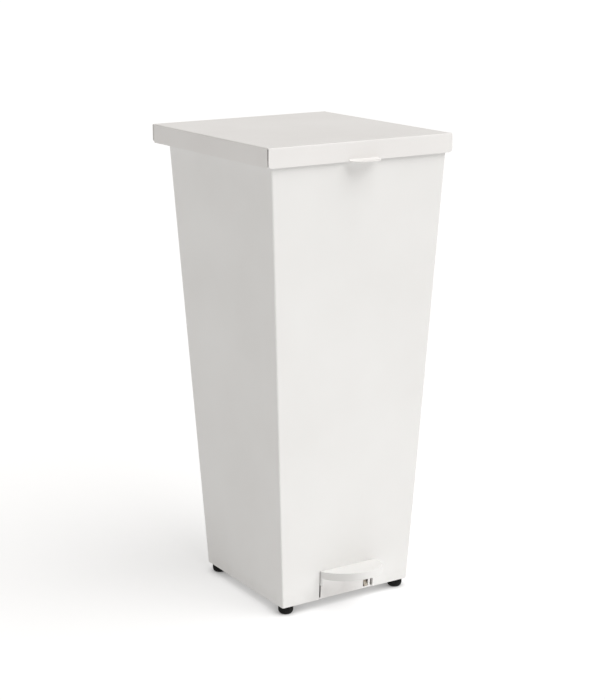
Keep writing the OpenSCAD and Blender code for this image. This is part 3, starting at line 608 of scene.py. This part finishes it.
def strip(shape, rows):
    """Quads between neighbouring rows of points."""
    rows = [[shape.verts.new(point) for point in row] for row in rows]
    for upper, lower in zip(rows, rows[1:]):
        for k in range(len(upper) - 1):
            shape.faces.new((upper[k], upper[k + 1], lower[k + 1], lower[k]))


def tab_width(out):
    over = max(0, out - (tab_out - tab_curve))
    return tab_half - tab_curve + math.sqrt(max(0, tab_curve ** 2 - over ** 2))


def lid_mesh():
    """The outer face of the folded sheet: four skirts, the tab and the top between them."""
    shape = bmesh.new()
    top, foot = lid_high[2], lid_low[2]
    turned_at = foot + sheet + tab_bend
    quarter = [math.radians(7.5 * k) for k in range(13)]

    def folded(place, u, a):
        return place(u, bend * (math.sin(a) - 1), top - bend * (1 - math.cos(a)))

    def tab_row(place, out, height):
        return [place(share * tab_width(out), out, height) for share in shares]

    for index, (start, end, round_r, place) in enumerate(skirt_sides()):
        curve = [(round_r * (1 - math.cos(a)), foot + round_r * (1 - math.sin(a)))
                 for a in (math.radians(15 * k) for k in range(7))]
        columns = [(start + along, low) for along, low in curve]
        columns += [(-tab_half, foot), (tab_half, foot)] if index == 0 else []
        columns += [(end - along, low) for along, low in reversed(curve)]
        lines = [columns]
        if index == 0:
            half = len(columns) // 2
            lines = [columns[:half], columns[half:]]
            shares = [k / 12 - 1 for k in range(25)]
            tab = [[folded(place, share * tab_half, a) for share in shares] for a in quarter]
            tab += [tab_row(place, tab_bend * (1 - math.cos(a)), turned_at - tab_bend * math.sin(a))
                    for a in quarter]
            tab += [tab_row(place, tab_bend + (tab_out - tab_bend) * math.sin(a), foot + sheet)
                    for a in quarter[1:]]
            strip(shape, tab)
        for line in lines:
            rows = [[folded(place, u, a) for u, _ in line] for a in quarter]
            rows.append([place(u, 0, turned_at) for u, _ in line])
            rows.append([place(u, 0, low) for u, low in line])
            strip(shape, rows)
    left, right = lid_low[0], lid_high[0]
    for x in (left, right):
        for y in (front_y + slit, rear_y - slit):
            shape.verts.new((x, y, top))
    bmesh.ops.remove_doubles(shape, verts=shape.verts, dist=0.01 * MM)

    def around(vert):
        """Where the point comes on the way round the top, corner slits included."""
        x, y, _ = vert.co
        ahead = y < middle_y
        if abs(y - middle_y) > (rear_y - front_y) / 2 - slit + 0.01 * MM:
            return (0, x) if ahead else (2, -x)
        return (1, round(y, 6), -x if ahead else x) if x > 0 else (3, -round(y, 6), -x if ahead else x)

    shape.faces.new(sorted((vert for vert in shape.verts if vert.co.z > top - 0.001 * MM), key=around))
    inside = Vector((0, middle_y, foot - 100 * MM))
    shape.normal_update()
    for face in shape.faces:
        if face.normal.dot(face.calc_center_median() - inside) < 0:
            face.normal_flip()
    mesh = bpy.data.meshes.new("lid_pan")
    shape.to_mesh(mesh)
    shape.free()
    return mesh


# Painted shade: the lid's copy of the white coat is a little darker than the body's, to darken its
# skirts.
lid_coat_painted_shade = powder_coat("lid_powder_painted_shade", (0.838, 0.826, 0.815), (0.815, 0.802, 0.79), 0.48, 0.1)
lid = new_piece("lid_pan", lid_mesh(), lid_coat_painted_shade)
lid.data.shade_smooth()
wall = lid.modifiers.new("sheet", "SOLIDIFY")
wall.thickness = sheet
wall.offset = -1
wall.use_even_offset = False
round_edges(lid, 0.25 * MM, 2, 50)
stand_for(lid, "lid_shell")
for hand in ("left", "right"):
    finished_copy("lid_bracket_" + hand, zinc_sheet, 0.3 * MM)
finished_copy("lid_lug", zinc_sheet, 0.3 * MM)
finished_copy("lid_buffers", black_rubber, 0.3 * MM)


# ---- Pedal ------------------------------------------------------------------------
# The tread is pressed from 1.5 mm sheet with a turned-down lip that runs back into two
# arms, and is powder-coated in a darker copy of the white coat, painted shade on its up-facing top. A
# zinc-plated yoke and lever bar are riveted and welded to it.

# Painted shade: the tread's copy of the white coat is darker than the body's, to tone down its brightly
# lit top.
tread_coat_painted_shade = powder_coat("tread_powder_painted_shade", (0.80, 0.797, 0.787), (0.77, 0.766, 0.756), 0.55, 0.15)
lip_l = 56 * MM
fold_r, cut_r = 1.8 * MM, 0.3 * MM


def tread_mesh(soft_width, edge_width):
    """The tread's own shape, with the fold to its lip marked for a wide radius."""
    shape = merged_shape("pedal_tread")
    weight = shape.edges.layers.float.new("bevel_weight_edge")
    lip_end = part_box("pedal_tread")[0][1] + lip_l
    for edge in shape.edges:
        if len(edge.link_faces) != 2:
            continue
        normals = [face.normal for face in edge.link_faces]
        if normals[0].angle(normals[1]) < math.radians(32):
            continue
        upward = max(normal.z for normal in normals)
        flat = min(abs(normal.z) for normal in normals)
        outer = max(vert.co.y for vert in edge.verts) < lip_end
        fold = upward > 0.95 and flat < 0.3 and outer
        edge[weight] = 1.0 if fold else edge_width / soft_width
    mesh = bpy.data.meshes.new("pedal_pressing")
    shape.to_mesh(mesh)
    shape.free()
    return mesh


tread = new_piece("pedal_pressing", tread_mesh(fold_r, cut_r), tread_coat_painted_shade)
round_edges(tread, fold_r, 4, 32, "WEIGHT")
stand_for(tread, "pedal_tread")
finished_copy("pedal_yoke", zinc_sheet, 0.3 * MM)
finished_copy("lever_bar", zinc_fixing, 0.4 * MM)
for hand in ("left", "right"):
    finished_copy("pedal_bush_" + hand, cream_nylon, 0.25 * MM)
rivets("yoke_rivets", 4 * MM, lambda centre: (1 if centre.x > 0 else -1, 0, 0))


# ---- Push rod ---------------------------------------------------------------------
# A 6 mm zinc-plated rod with a pinned clevis on the pedal's lever below and an eye above,
# whose cross pin lifts the lug under the lid.

for node in ("push_rod", "rod_eye", "rod_top_pin", "rod_clevis", "clevis_pin"):
    finished_copy(node, zinc_fixing, 0.3 * MM)
finished_copy("clevis_clip", zinc_fixing, 0.1 * MM, 1)


# ---- Inner bucket and bail --------------------------------------------------------
# A removable bucket moulded in grey polypropylene with a thick rim bead. Its bail is 4 mm
# zinc-plated wire through the walls, with a ringed black plastic grip.

grey_plastic = moulded("grey_polypropylene", (0.205, 0.212, 0.218), 0.46, 520.0, 0.00010)
finished_copy("inner_bucket", grey_plastic, 0.5 * MM)
finished_copy("bail_handle", zinc_fixing, 0.2 * MM)

black_plastic = moulded("black_plastic", (0.016, 0.016, 0.016), 0.45, 900.0, 0.00006)
grip_low, grip_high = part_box("bail_grip")
grip_r = (grip_high[2] - grip_low[2]) / 2
grip_mid = Vector([(low + high) / 2 for low, high in zip(grip_low, grip_high)])
wire_r = 2 * MM
ring_step = 4 * MM
half_l = (grip_high[0] - grip_low[0]) / 2
core = [(wire_r, -half_l), (grip_r - MM, -half_l), (grip_r - 0.5 * MM, 0.5 * MM - half_l),
        (grip_r - 0.5 * MM, half_l - 0.5 * MM), (grip_r - MM, half_l), (wire_r, half_l),
        (wire_r, -half_l)]
ring = [(grip_r - 0.7 * MM, -0.9 * MM), (grip_r - 0.2 * MM, -0.7 * MM), (grip_r, -0.35 * MM),
        (grip_r, 0.35 * MM), (grip_r - 0.2 * MM, 0.7 * MM), (grip_r - 0.7 * MM, 0.9 * MM),
        (grip_r - 0.7 * MM, -0.9 * MM)]
count = int(2 * (half_l - 4 * MM) / ring_step)
rings = [(grip_mid + Vector(((k - count / 2) * ring_step, 0, 0)), (1, 0, 0), 1.0)
         for k in range(count + 1)]
grip = set_out_mesh("grip_rings", lathe(ring, 36), rings, black_plastic)
body_of_grip = set_out_mesh("grip_core", lathe(core, 36), [(grip_mid, (1, 0, 0), 1.0)], black_plastic)
joined = bmesh.new()
joined.from_mesh(grip)
joined.from_mesh(body_of_grip)
bmesh.ops.remove_doubles(joined, verts=joined.verts, dist=0.001 * MM)
bmesh.ops.recalc_face_normals(joined, faces=joined.faces)
joined.to_mesh(grip)
joined.free()
grip_piece = new_piece("ringed_grip", grip, black_plastic)
stand_for(grip_piece, "bail_grip")
